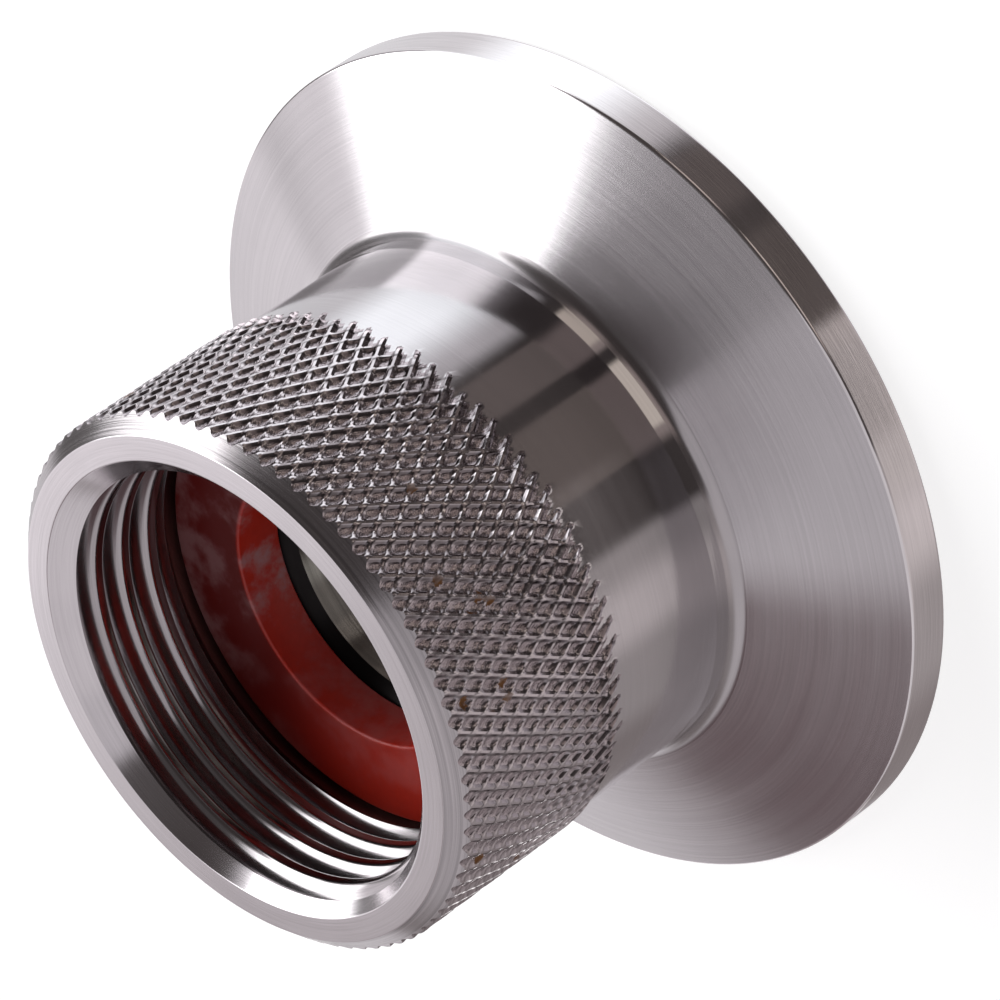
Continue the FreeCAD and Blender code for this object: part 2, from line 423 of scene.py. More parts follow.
def red_rubber():
    """Moulded red rubber: its own red in its hole, painted shade darkening its face towards one side,
    and a few patches of pale painted sheen.
    """
    material, tree, shader = principled("red_rubber")
    place = object_place(tree)
    x, y, _ = parts_of(tree, place)
    patch_noise = noise(tree, place, 260.0, 5.0, None, 0.62)
    fine = noise(tree, place, 2400.0, 3.0)
    hole, face = ((WASHER_BORE_R + beyond) * MM for beyond in FACE_EDGE)
    on_face = spread(tree, from_axis(tree, x, y), hole, face, 0.0, 1.0, True)
    # Painted shade: the face darkens towards +X.
    shade_start, shade_end = (side * MM for side in PAINTED_SHADE_FROM_TO)
    painted_face_shade = calc(tree, "MULTIPLY", on_face, spread(tree, x, shade_start, shade_end, 0.15, 0.95, True))
    bare = blend_colour(tree, fine, *map(opaque, RUBBER_REDS))
    red = blend_colour(tree, painted_face_shade, bare, opaque(PAINTED_SHADE_RED))
    # Painted sheen: pale patches stand for soft reflections, most towards +X and in the hole.
    sheen_start, sheen_end = (side * MM for side in PAINTED_SHEEN_FROM_TO)
    sheen_side = spread(tree, x, sheen_start, sheen_end, 0.2, 0.85, True)
    thinned = spread(tree, on_face, 0.0, 1.0, 1.0, 0.45)
    laid = calc(tree, "MULTIPLY", sheen_side, thinned)
    painted_sheen = calc(tree, "MULTIPLY", spread(tree, patch_noise, 0.43, 0.62, 0.0, 1.0, True), laid)
    tree.links.new(blend_colour(tree, painted_sheen, red, opaque(PAINTED_SHEEN_COLOUR)), shader.inputs["Base Color"])
    tree.links.new(spread(tree, patch_noise, 0.3, 0.7, 0.3, 0.5), shader.inputs["Roughness"])
    raise_surface(tree, shader, fine, 0.2, 0.03)
    return material


def steel_finishes():
    """The fitting's finishes, by the name of the surface that wears them."""
    marks = turning_marks_group()
    steel = (0.66, 0.63, 0.645)
    bright = (0.74, 0.70, 0.72)
    white = (0.84, 0.80, 0.81)
    soft = (0.52, 0.49, 0.50)
    dark = (0.46, 0.43, 0.44)
    grey = (0.34, 0.32, 0.30)
    painted_shadow_black = (0.02, 0.018, 0.018)
    shaded_red = (0.26, 0.11, 0.10)
    return {
        "sealing": turned_steel("lapped_steel", marks, steel, 0.2, grain=0.12, spacing=0.06),
        "rim": turned_steel("rim_steel", marks, white, 0.12, grain=0.1, spacing=0.05, length=5.0, pull=0.4),
        "bevel": turned_steel("brushed_steel", marks, steel, 0.2, grain=0.2, spacing=0.09, length=1.2,
                              pull=0.98, contrast=0.06, banding=0.07),
        "root": turned_steel("root_steel", marks, soft, 0.22, grain=0.06, spacing=0.1, length=1.5, pull=0.6,
                             contrast=0.05),
        # The neck's colour darkens towards the root as painted shade, by the second number in the tuple
        # below.
        "neck": turned_steel("polished_steel", marks, steel, 0.06, grain=0.04, spacing=0.1, length=1.5,
                             pull=0.3, contrast=0.04, polish_and_shade=(0.11, 0.75, *NECK_POLISH_AND_SHADE_FROM_TO)),
        "chamfer": turned_steel("chamfer_steel", marks, dark, 0.22, grain=0.9, spacing=0.13, length=0.6,
                                pull=0.6, contrast=0.25),
        "face": turned_steel("face_steel", marks, bright, 0.16, grain=0.12, spacing=0.1, length=2.0,
                             pull=0.5, contrast=0.06),
        "thread": turned_steel("thread_steel", marks, dark, 0.15, grain=0.1, spacing=0.09, length=2.0,
                               pull=0.4),
        # The relief's dark red is painted shade and a painted reflection of the red washer.
        "relief": turned_steel("red_shaded_steel", marks, shaded_red, 0.35, grain=0.1, spacing=0.2),
        # A painted shadow: the bore's chamfer under the washer is coloured black.
        "gap": turned_steel("shadow_painted_steel", marks, painted_shadow_black, 0.4, grain=0.2, spacing=0.2),
        "bore": turned_steel("bore_steel", marks, grey, 0.16, grain=0.7, spacing=0.3, length=0.8, pull=0.5,
                             contrast=0.3),
        "knurl": knurled_steel(),
    }


# Turned surfaces

def material_index(finishes, name):
    """The place of a finish in a piece's list of materials."""
    return list(finishes).index(name)


def arc(middle, radius, start, end, steps):
    """Points of an arc of the outline, its angles in degrees from straight outwards towards straight up."""
    angles = [math.radians(start + (end - start) * i / steps) for i in range(steps + 1)]
    return [(middle[0] + radius * math.cos(a), middle[1] + radius * math.sin(a)) for a in angles]


def straight(start, end, hold=HOLD):
    """A straight run of the outline, held flat by a ring close to each end."""
    length = math.dist(start, end)
    share = hold / length
    return [
        (start[0] + (end[0] - start[0]) * t, start[1] + (end[1] - start[1]) * t)
        for t in (0.0, share, 1.0 - share, 1.0)
    ]


def lower_outline():
    """From the thread's lower end through the bore, round the flange and up the neck to the knurl."""
    slope = math.radians(BEVEL_ANGLE)
    edge_turn = 90.0 - BEVEL_ANGLE
    edge = (RIM_R - RIM_EDGE, RIM_T - RIM_EDGE * math.tan(math.radians(edge_turn / 2)))
    flare = math.radians(FLARE)
    root_reach = NECK_R + FLARE_HEIGHT * math.tan(flare) + ROOT_R * math.cos(flare)
    root = (root_reach, RIM_T + (RIM_R - root_reach) * math.tan(slope) + ROOT_R / math.cos(slope))
    groove = (GROOVE_MIDDLE, GROOVE_DEPTH - GROOVE_R)
    groove_turn = math.degrees(math.acos(-groove[1] / GROOVE_R))
    foot_edge = arc((RIM_R - RIM_EDGE, RIM_EDGE), RIM_EDGE, -90, 0, 5)
    top_edge = arc(edge, RIM_EDGE, 0, edge_turn, 5)
    root_arc = arc(root, ROOT_R, 270 - BEVEL_ANGLE, 180 + FLARE, 14)
    flare_top = (NECK_R, root_arc[-1][1] + FLARE_HEIGHT)
    groove_arc = arc(groove, GROOVE_R, 90 + groove_turn, 90 - groove_turn, 16)
    bore_foot = arc((BORE_R + EDGE_BREAK, EDGE_BREAK), EDGE_BREAK, 180, 270, 3)
    thread_foot = (RELIEF_R - THREAD_FOOT + RELIEF_TOP, THREAD_FOOT)
    return [
        ("relief", straight(thread_foot, (RELIEF_R, RELIEF_TOP), 0.02)),
        ("relief", straight((RELIEF_R, RELIEF_TOP), (RELIEF_R, SEAT))),
        ("bore", straight((RELIEF_R, SEAT), (BORE_R + BORE_CHAMFER, SEAT))),
        # The chamfer under the washer wears the black of a painted shadow.
        ("gap", straight((BORE_R + BORE_CHAMFER, SEAT), (BORE_R, SEAT - BORE_CHAMFER))),
        ("bore", straight((BORE_R, SEAT - BORE_CHAMFER), bore_foot[0])),
        ("sealing", bore_foot),
        ("sealing", straight(bore_foot[-1], groove_arc[0])),
        ("sealing", groove_arc),
        ("sealing", straight(groove_arc[-1], foot_edge[0])),
        ("rim", foot_edge),
        ("rim", straight(foot_edge[-1], top_edge[0])),
        ("rim", top_edge),
        ("bevel", straight(top_edge[-1], root_arc[0])),
        ("root", root_arc),
        ("neck", straight(root_arc[-1], flare_top, 0.08)),
        ("neck", straight(flare_top, (NECK_R, KNURL_START - NECK_JOIN), 0.08)),
    ]


def upper_outline():
    """From the knurl's upper end over the collar's chamfer and face into the mouth."""
    chamfer_foot = (CHAMFER_SUM - KNURL_TOP, KNURL_TOP)
    lay_down = math.tan(math.radians(22.5)) * EDGE_BREAK
    outer = arc((COLLAR_R - CHAMFER - lay_down, LENGTH - EDGE_BREAK), EDGE_BREAK, 45, 90, 3)
    inner = arc((MOUTH_R + lay_down, LENGTH - EDGE_BREAK), EDGE_BREAK, 90, 135, 3)
    return [
        ("chamfer", straight(chamfer_foot, outer[0])),
        ("face", outer),
        ("face", straight(outer[-1], inner[0])),
        ("face", inner),
        ("face", straight(inner[-1], (MOUTH_R - LENGTH + THREAD_TOP, THREAD_TOP))),
    ]


def ring_of(bm, radius, height):
    """A ring of points round the axis, starting at the front."""
    turns = [2 * math.pi * i / AROUND for i in range(AROUND)]
    return [bm.verts.new((radius * MM * math.sin(a), -radius * MM * math.cos(a), height * MM)) for a in turns]


def turn_outline(bm, stretches, finishes):
    """Turns an outline round the axis and returns its first and last ring."""
    rings = []
    last_point = None
    for finish, points in stretches:
        index = material_index(finishes, finish)
        for point in points:
            if last_point is not None and math.dist(point, last_point) < SMALL:
                continue
            last_point = point
            rings.append(ring_of(bm, *point))
            if len(rings) == 1:
                continue
            below, above = rings[-2:]
            for i in range(AROUND):
                j = (i + 1) % AROUND
                bm.faces.new((below[i], below[j], above[j], above[i])).material_index = index
    return rings[0], rings[-1]


def bearing(vertex):
    """How far round the axis a point lies, in radians from the front."""
    return math.atan2(vertex.co.x, -vertex.co.y) % (2 * math.pi)


def zip_rings(bm, first, second, index):
    """Joins two rings that have different numbers of points."""
    one = sorted(first, key=bearing)
    two = sorted(second, key=bearing)
    i = 0
    j = 0
    full = 2 * math.pi
    while i < len(one) or j < len(two):
        next_one = bearing(one[(i + 1) % len(one)]) + full * ((i + 1) // len(one))
        next_two = bearing(two[(j + 1) % len(two)]) + full * ((j + 1) // len(two))
        a = one[i % len(one)]
        b = two[j % len(two)]
        if j >= len(two) or (i < len(one) and next_one <= next_two):
            i += 1
            corners = (a, one[i % len(one)], b)
        else:
            j += 1
            corners = (a, two[j % len(two)], b)
        bm.faces.new(corners).material_index = index


# Repeated forms

def from_generator(name, mesh, tree, values):
    """Runs a generator on a mesh and returns what it makes as a plain mesh."""
    carrier = bpy.data.objects.new(name, mesh)
    bpy.context.scene.collection.objects.link(carrier)
    modifier = carrier.modifiers.new(name, "NODES")
    modifier.node_group = tree
    for item in tree.interface.items_tree:
        if item.item_type == "SOCKET" and item.in_out == "INPUT" and item.name in values:
            modifier[item.identifier] = values[item.name]
    bpy.context.view_layer.update()
    result = bpy.data.meshes.new_from_object(carrier.evaluated_get(bpy.context.evaluated_depsgraph_get()))
    bpy.data.objects.remove(carrier)
    return result


def round_axis(tree, radius, turn, height):
    """The place of a point from its radius, its turn round the axis and its height in millimetres."""
    angle = calc(tree, "MULTIPLY", turn, 2 * math.pi)
    out = calc(tree, "MULTIPLY", radius, MM)
    x = calc(tree, "MULTIPLY", out, calc(tree, "SINE", angle))
    y = calc(tree, "MULTIPLY", out, calc(tree, "MULTIPLY", calc(tree, "COSINE", angle), -1.0))
    return vector(tree, x, y, calc(tree, "MULTIPLY", height, MM))


def generator(name, inputs):
    """An empty generator with named inputs."""
    listed = [("Geometry", "NodeSocketGeometry", None)] + inputs
    return new_group(name, listed, [("Geometry", "NodeSocketGeometry")], "GeometryNodeTree")


def finish_generator(tree, geometry, material, result):
    """Turns a generator's instances into a mesh with its material."""
    realize = tree.nodes.new("GeometryNodeRealizeInstances")
    dress = tree.nodes.new("GeometryNodeSetMaterial")
    dress.inputs["Material"].default_value = material
    tree.links.new(geometry, realize.inputs["Geometry"])
    tree.links.new(realize.outputs["Geometry"], dress.inputs["Geometry"])
    tree.links.new(dress.outputs["Geometry"], result.inputs["Geometry"])


def named_value(tree, name):
    """A value kept with the points of the mesh that a generator works on."""
    node = tree.nodes.new("GeometryNodeInputNamedAttribute")
    node.data_type = "FLOAT"
    node.inputs["Name"].default_value = name
    return node.outputs["Attribute"]


def knurl_cell():
    """One pit of the knurl, flat, from one side of its ridges' crests to the other.

    Each point keeps its height on the long ridge along one side, and on the cross ridge along the other.
    """
    far_side = [(1.0 - place, height) for place, height in reversed(RIDGE_SECTION)]
    steps = [(-RIDGE_SECTION[0][0], 1.0), *RIDGE_SECTION, *far_side[1:]]
    bm = bmesh.new()
    cross_ridge = bm.verts.layers.float.new("cross_ridge")
    long_ridge = bm.verts.layers.float.new("long_ridge")
    rows = []
    for u, cross in steps:
        row = []
        for v, long in steps:
            point = bm.verts.new((u, v, 0.0))
            point[cross_ridge] = cross
            point[long_ridge] = long
            row.append(point)
        rows.append(row)
    for near, far in zip(rows, rows[1:]):
        for i in range(len(steps) - 1):
            bm.faces.new((near[i], far[i], far[i + 1], near[i + 1]))
    mesh = bpy.data.meshes.new("knurl_cell")
    bm.to_mesh(mesh)
    bm.free()
    return mesh


def knurl_generator(material):
    """Lays pits side by side round the collar, and runs the ridges out over the neck in spikes."""
    tree, given, result = generator("diamond_knurl", [
        ("Count", "NodeSocketInt", KNURL_COUNT),
        ("Rows", "NodeSocketInt", KNURL_ROWS),
        ("First Row", "NodeSocketInt", KNURL_FIRST_ROW),
        ("Rise", "NodeSocketFloat", KNURL_RISE),
        ("Foot", "NodeSocketFloat", KNURL_FOOT),
        ("Floor Radius", "NodeSocketFloat", NECK_R),
        ("Ridge Height", "NodeSocketFloat", KNURL_DEPTH),
        ("Cross Ridge Sag", "NodeSocketFloat", 0.42),
        ("Spike Reach", "NodeSocketFloat", SPIKE_REACH),
        ("Unevenness", "NodeSocketFloat", 0.05),
        ("Seed", "NodeSocketFloat", KNURL_SEED),
    ])
    sizes = given.outputs
    points = tree.nodes.new("GeometryNodePoints")
    tree.links.new(calc(tree, "MULTIPLY", sizes["Count"], sizes["Rows"]), points.inputs["Count"])
    index = tree.nodes.new("GeometryNodeInputIndex").outputs["Index"]
    row = calc(tree, "FLOOR", calc(tree, "DIVIDE", calc(tree, "ADD", index, 0.5), sizes["Count"]))
    column = calc(tree, "SUBTRACT", index, calc(tree, "MULTIPLY", row, sizes["Count"]))
    level = calc(tree, "ADD", row, sizes["First Row"])
    shift = calc(tree, "MODULO", row, 2.0)
    across = calc(tree, "ADD", calc(tree, "MULTIPLY", column, 2.0), shift)
    first = calc(tree, "DIVIDE", calc(tree, "ADD", level, across), 2.0)
    second = calc(tree, "DIVIDE", calc(tree, "SUBTRACT", level, across), 2.0)
    tree.links.new(vector(tree, first, second, 0.0), points.inputs["Position"])
    copies = tree.nodes.new("GeometryNodeInstanceOnPoints")
    tree.links.new(points.outputs["Points"], copies.inputs["Points"])
    tree.links.new(given.outputs["Geometry"], copies.inputs["Instance"])
    solid = tree.nodes.new("GeometryNodeRealizeInstances")
    tree.links.new(copies.outputs["Instances"], solid.inputs["Geometry"])

    u, v, _ = parts_of(tree, tree.nodes.new("GeometryNodeInputPosition").outputs["Position"])
    turn = calc(tree, "DIVIDE", calc(tree, "SUBTRACT", u, v), calc(tree, "MULTIPLY", sizes["Count"], 2.0))
    height = calc(tree, "ADD", sizes["Foot"], calc(tree, "MULTIPLY", calc(tree, "ADD", u, v), sizes["Rise"]))
    angle = calc(tree, "MULTIPLY", turn, 2 * math.pi)
    spot = vector(tree, calc(tree, "MULTIPLY", calc(tree, "SINE", angle), COLLAR_R),
                  calc(tree, "MULTIPLY", calc(tree, "COSINE", angle), COLLAR_R), height)
    ragged = noise(tree, spot, 0.9, 1.0, sizes["Seed"])
    rough = noise(tree, spot, 2.6, 1.0, sizes["Seed"])
    above = calc(tree, "SUBTRACT", height, sizes["Foot"])
    short = calc(tree, "MULTIPLY", sizes["Spike Reach"], spread(tree, ragged, 0.35, 0.65, -0.97, -0.55))
    sink_cross = spread(tree, above, 0.1, short, 0.0, 1.0)
    sink_long = spread(tree, above, 1.8, calc(tree, "MULTIPLY", short, 0.4), 0.0, 1.0)
    worn = spread(tree, above, 2.5, 6.5, 0.0, sizes["Cross Ridge Sag"], True)

    def tapered(height_share, sink):
        """A ridge that grows thin before it grows low."""
        left = calc(tree, "MAXIMUM", calc(tree, "SUBTRACT", height_share, sink), 0.0)
        narrowed = calc(tree, "DIVIDE", left, calc(tree, "SUBTRACT", 1.001, sink))
        lowered = calc(tree, "SUBTRACT", 1.0, calc(tree, "MULTIPLY", sink, sink))
        return calc(tree, "MULTIPLY", narrowed, lowered)

    long = tapered(named_value(tree, "long_ridge"), sink_long)
    sag = calc(tree, "MULTIPLY", worn, calc(tree, "SUBTRACT", 1.0, named_value(tree, "long_ridge")))
    saddle = calc(tree, "MULTIPLY", named_value(tree, "cross_ridge"), calc(tree, "SUBTRACT", 1.0, sag))
    cross = tapered(saddle, sink_cross)
    pit = calc(tree, "MULTIPLY", calc(tree, "SUBTRACT", 1.0, long), calc(tree, "SUBTRACT", 1.0, cross))
    ridge = calc(tree, "SUBTRACT", 1.0, pit)
    jitter = calc(tree, "MULTIPLY", calc(tree, "SUBTRACT", rough, 0.5), sizes["Unevenness"])
    settled = spread(tree, above, 0.0, 1.0, 0.0, 1.0)
    lift = calc(tree, "ADD", calc(tree, "MULTIPLY", ridge, sizes["Ridge Height"]),
                calc(tree, "MULTIPLY", jitter, settled))
    radius = calc(tree, "ADD", sizes["Floor Radius"], lift)
    kept = tree.nodes.new("GeometryNodeStoreNamedAttribute")
    kept.data_type = "FLOAT"
    kept.inputs["Name"].default_value = "pit"
    tree.links.new(solid.outputs["Geometry"], kept.inputs["Geometry"])
    tree.links.new(pit, kept.inputs["Value"])
    wrap = tree.nodes.new("GeometryNodeSetPosition")
    tree.links.new(kept.outputs["Geometry"], wrap.inputs["Geometry"])
    tree.links.new(round_axis(tree, radius, turn, height), wrap.inputs["Position"])
    weld = tree.nodes.new("GeometryNodeMergeByDistance")
    weld.inputs["Distance"].default_value = 0.01 * MM
    tree.links.new(wrap.outputs["Geometry"], weld.inputs["Geometry"])
    finish_generator(tree, weld.outputs["Geometry"], material, result)
    return tree


def thread_generator(material):
    """Winds the hose thread's outline round the socket, rising to the right."""
    tree, given, result = generator("hose_thread", [
        ("Around", "NodeSocketInt", AROUND),
        ("Turns", "NodeSocketInt", THREAD_TURNS),
        ("Rows", "NodeSocketInt", THREAD_ROWS),
        ("Pitch", "NodeSocketFloat", THREAD_PITCH),
        ("Crest Radius", "NodeSocketFloat", THREAD_CREST_R),
        ("Crest Width", "NodeSocketFloat", THREAD_CREST_WIDTH),
        ("Depth", "NodeSocketFloat", THREAD_DEPTH),
        ("Crest Height", "NodeSocketFloat", THREAD_CREST_HEIGHT),
    ])
    sizes = given.outputs
    grid = tree.nodes.new("GeometryNodeMeshGrid")
    grid.inputs["Size X"].default_value = 1.0
    grid.inputs["Size Y"].default_value = 1.0
    tree.links.new(calc(tree, "ADD", sizes["Around"], 1.0), grid.inputs["Vertices X"])
    rows = calc(tree, "MULTIPLY", sizes["Rows"], sizes["Turns"])
    tree.links.new(calc(tree, "ADD", rows, 1.0), grid.inputs["Vertices Y"])
    x, y, _ = parts_of(tree, tree.nodes.new("GeometryNodeInputPosition").outputs["Position"])
    turn = calc(tree, "ADD", x, 0.5)
    climb = calc(tree, "SUBTRACT", calc(tree, "MULTIPLY", calc(tree, "ADD", y, 0.5), sizes["Turns"]), 1.0)
    away = calc(tree, "ABSOLUTE", calc(tree, "SUBTRACT", climb, calc(tree, "ROUND", climb)))
    distance = calc(tree, "MULTIPLY", away, sizes["Pitch"])
    beyond = calc(tree, "SUBTRACT", distance, calc(tree, "DIVIDE", sizes["Crest Width"], 2.0))
    flank = calc(tree, "MULTIPLY", beyond, math.tan(math.radians(THREAD_FLANK)))
    rounded = calc(tree, "SMOOTH_MAX", flank, 0.0, CREST_ROUNDING)
    hollow = calc(tree, "SMOOTH_MIN", rounded, sizes["Depth"], ROOT_ROUNDING)
    radius = calc(tree, "ADD", sizes["Crest Radius"], hollow)
    height = calc(tree, "ADD", sizes["Crest Height"],
                  calc(tree, "MULTIPLY", calc(tree, "ADD", climb, turn), sizes["Pitch"]))
    wrap = tree.nodes.new("GeometryNodeSetPosition")
    tree.links.new(grid.outputs["Mesh"], wrap.inputs["Geometry"])
    tree.links.new(round_axis(tree, radius, turn, height), wrap.inputs["Position"])
    weld = tree.nodes.new("GeometryNodeMergeByDistance")
    weld.inputs["Distance"].default_value = 0.005 * MM
    tree.links.new(wrap.outputs["Geometry"], weld.inputs["Geometry"])
    finish_generator(tree, weld.outputs["Geometry"], material, result)
    return tree


# Trimming the repeated forms to the turned ones

def radius_of(vertex):
    """A point's distance from the axis, in millimetres."""
    return math.hypot(vertex.co.x, vertex.co.y) / MM


def set_radius(vertex, radius):
    """Moves a point straight towards or away from the axis."""
    share = radius / radius_of(vertex)
    vertex.co.x *= share
    vertex.co.y *= share


def keep_between(bm, low, high):
    """Cuts off what lies below one height or above another."""
    for height, up in ((low, -1), (high, 1)):
        bmesh.ops.bisect_plane(
            bm, geom=bm.verts[:] + bm.edges[:] + bm.faces[:], dist=1e-8,
            plane_co=(0, 0, height * MM), plane_no=(0, 0, up), clear_outer=True)


def trim(bm, limit, side):
    """Cuts the mesh along the line where it crosses a limiting radius and lays what stands beyond on it."""
    beyond = {vertex: side * (radius_of(vertex) - limit(vertex.co.z / MM)) for vertex in bm.verts}
    crossed = [e for e in bm.edges
               if min(beyond[v] for v in e.verts) < -SMALL and max(beyond[v] for v in e.verts) > SMALL]
    seam = []
    for edge in crossed:
        start, end = edge.verts
        share = beyond[start] / (beyond[start] - beyond[end])
        seam.append(bmesh.utils.edge_split(edge, start, share)[1])
    bmesh.ops.connect_verts(bm, verts=seam)
    laid = set(seam)
    for vertex in seam:
        set_radius(vertex, limit(vertex.co.z / MM))
    for vertex, excess in beyond.items():
        if excess > -SMALL:
            set_radius(vertex, limit(vertex.co.z / MM))
            laid.add(vertex)
    return laid


def trimmed_knurl(finishes):
    """The knurl, cut by the collar's chamfer at its top, with the neck's polish between its spikes."""
    tree = knurl_generator(finishes["knurl"])
    mesh = from_generator("knurl", knurl_cell(), tree, {"Seed": KNURL_SEED})
    bm = bmesh.new()
    bm.from_mesh(mesh)
    keep_between(bm, KNURL_START, KNURL_TOP)
    cut = trim(bm, lambda height: CHAMFER_SUM - height, 1)
    for face in bm.faces:
        finish = "knurl"
        if all(vertex in cut for vertex in face.verts):
            finish = "chamfer"
        elif all(v.co.z < KNURL_FOOT * MM and radius_of(v) < NECK_R + SMALL for v in face.verts):
            finish = "neck"
        face.material_index = material_index(finishes, finish)
    bm.to_mesh(mesh)
    bm.free()
    return mesh


def trimmed_thread(finishes):
    """The thread, cut by the mouth's countersink and run out into the relief."""
    mesh = from_generator("thread", bpy.data.meshes.new("thread"), thread_generator(finishes["thread"]), {})
    bm = bmesh.new()
    bm.from_mesh(mesh)
    keep_between(bm, THREAD_FOOT, THREAD_TOP)
    mouth = trim(bm, lambda height: MOUTH_R - LENGTH + height, -1)
    trim(bm, lambda height: RELIEF_R + RELIEF_TOP - height, -1)
    for face in bm.faces:
        on_mouth = all(vertex in mouth for vertex in face.verts)
        face.material_index = material_index(finishes, "face" if on_mouth else "thread")
    bm.to_mesh(mesh)
    bm.free()
    return mesh


def edge_ring(bm, height):
    """The open edge's points at one height."""
    return [v for v in bm.verts if v.is_boundary and abs(v.co.z / MM - height) < 10 * SMALL]


def finish_mesh(bm, name, finishes):
    """A smooth, closed, outward facing object from what has been built."""
    bmesh.ops.recalc_face_normals(bm, faces=bm.faces[:])
    for face in bm.faces:
        face.smooth = True
    for edge in bm.edges:
        edge.smooth = len(edge.link_faces) == 2 and edge.calc_face_angle(0.0) < math.radians(SHARP_ANGLE)
    mesh = bpy.data.meshes.new(name)
    bm.to_mesh(mesh)
    bm.free()
    piece = bpy.data.objects.new(name, mesh)
    for material in finishes.values():
        mesh.materials.append(material)
    bpy.context.scene.collection.objects.link(piece)
    return piece


def make_fitting():
    """The whole steel fitting as one closed mesh."""
    finishes = steel_finishes()
    bm = bmesh.new()
    for mesh in (trimmed_knurl(finishes), trimmed_thread(finishes)):
        bm.from_mesh(mesh)
    neck_edge = edge_ring(bm, KNURL_START)
    chamfer_edge = edge_ring(bm, KNURL_TOP)
    relief_edge = edge_ring(bm, THREAD_FOOT)
    mouth_edge = edge_ring(bm, THREAD_TOP)
    relief_ring, neck_ring = turn_outline(bm, lower_outline(), finishes)
    chamfer_ring, mouth_ring = turn_outline(bm, upper_outline(), finishes)
    for ring, edge, finish in ((neck_ring, neck_edge, "neck"), (relief_ring, relief_edge, "bore"),
                               (chamfer_ring, chamfer_edge, "chamfer"), (mouth_ring, mouth_edge, "face")):
        zip_rings(bm, ring, edge, material_index(finishes, finish))
    bmesh.ops.dissolve_degenerate(bm, edges=bm.edges[:], dist=0.001 * MM)
    return finish_mesh(bm, "fitting", finishes)


def make_washer():
    """The flat hose washer, with rounded edges."""
    inside = WASHER_BORE_R + WASHER_EDGE
    outside = WASHER_R - WASHER_EDGE
    low = WASHER_FOOT + WASHER_EDGE
    high = WASHER_TOP - WASHER_EDGE
    corners = [((inside, low), 180), ((outside, low), 270), ((outside, high), 0), ((inside, high), 90)]
    arcs = [arc(middle, WASHER_EDGE, start, start + 90, 5) for middle, start in corners]
    stretches = []
    for i, points in enumerate(arcs):
        stretches.append(("rubber", points))
        if i + 1 < len(arcs):
            stretches.append(("rubber", straight(points[-1], arcs[i + 1][0])))
    finishes = {"rubber": red_rubber()}
    bm = bmesh.new()
    first, last = turn_outline(bm, stretches, finishes)
    zip_rings(bm, first, last, 0)
    return finish_mesh(bm, "washer", finishes)


# Studio

# The sky is split in four, at one angle off the front and at one elevation, and a ray works through the
# panels of its own part only, because that takes a good deal less time.
SPLIT_SIDE = 60.0
SPLIT_LEVEL = 16.0
FLOOR_GAP = 0.02
FLOOR_REACH = 3.0
# What the steel reflects. Each panel has the azimuth and elevation of its middle, half its width and height,
# its softness, its lean in degrees of azimuth to a degree of elevation, its colour and its strength.
SKY = (0.57, 0.55, 0.57)
PANELS = [
    ("left_wall", -95, 34, 50, 28, 7, 0.0, (1.0, 0.96, 0.99), 0.66),
    ("left_low", -95, -37, 62, 43, 7, 0.0, (1.0, 0.92, 0.92), 0.36),
    ("left_low_light", -66, -31, 12, 36, 8, 0.0, (1.0, 0.92, 0.92), 0.6),
    ("left_low_dark", -142, -36, 26, 38, 10, 0.0, (1.0, 0.88, 0.88), 0.25),
    ("right_low", 146, -46, 36, 24, 8, 0.0, (0.98, 0.97, 1.0), 0.76),
    ("back_low", 180, -7, 32, 14, 4, 0.0, (1.0, 0.97, 1.0), 0.85),
    ("back_right", 160, 32, 20, 26, 4, 0.0, (1.0, 0.97, 1.0), 1.0),
    ("back_left", -163, 34, 17, 24, 3, 0.0, (1.0, 0.94, 0.96), 0.5),
    ("left_back", -141, 36, 15, 21, 5, 0.6, (1.0, 0.66, 0.70), 0.13),
    ("window", 114, 27, 30, 35, 2.5, 0.45, (0.98, 0.99, 1.0), 3.2),
    ("window_low", 92, -32, 20, 34, 12, 0.2, (0.93, 0.97, 1.0), 1.5),
    ("right_shade", 121, -2, 12, 15, 3, 0.0, (0.97, 0.97, 1.0), 0.34),
    ("right_gap", 143, -2, 11.5, 15, 3, 0.0, (1.0, 0.95, 0.95), 0.15),
    ("back_glint", -158, -29.5, 16, 3.5, 1.5, 0.0, (1.0, 0.98, 0.98), 2.0),
    ("front", 21, 0, 46, 61, 5, 0.36, (1.0, 0.86, 0.84), 0.06),
    ("front_top", 58, 72, 58, 16, 5, 0.0, (1.0, 0.92, 0.92), 0.1),
    ("front_left", -26, -9, 12, 29, 3, 0.0, (1.0, 0.86, 0.84), 0.07),
    ("front_low", -32, -47, 24, 8.5, 0.8, 0.0, (1.0, 0.92, 0.9), 0.62),
    ("front_level", 15, -11, 28, 17, 3, 0.0, (1.0, 0.84, 0.80), 0.38),
    ("front_bar", 22.2, -9, 4.2, 22, 1.5, 0.0, (1.0, 0.86, 0.84), 0.06),
    ("brown_left", 3, -34.8, 17, 3.5, 0.7, 0.0, (1.0, 0.84, 0.78), 0.16),
    ("brown_right", 38, -34.8, 9.5, 3.5, 0.7, 0.0, (1.0, 0.84, 0.8), 0.16),
    ("streak_left", 6, -23, 14, 4.5, 1.5, 0.0, (1.0, 0.9, 0.8), 0.85),
    ("streak_right", 39, -23, 9, 4.5, 1.5, 0.0, (1.0, 0.88, 0.78), 0.7),
]


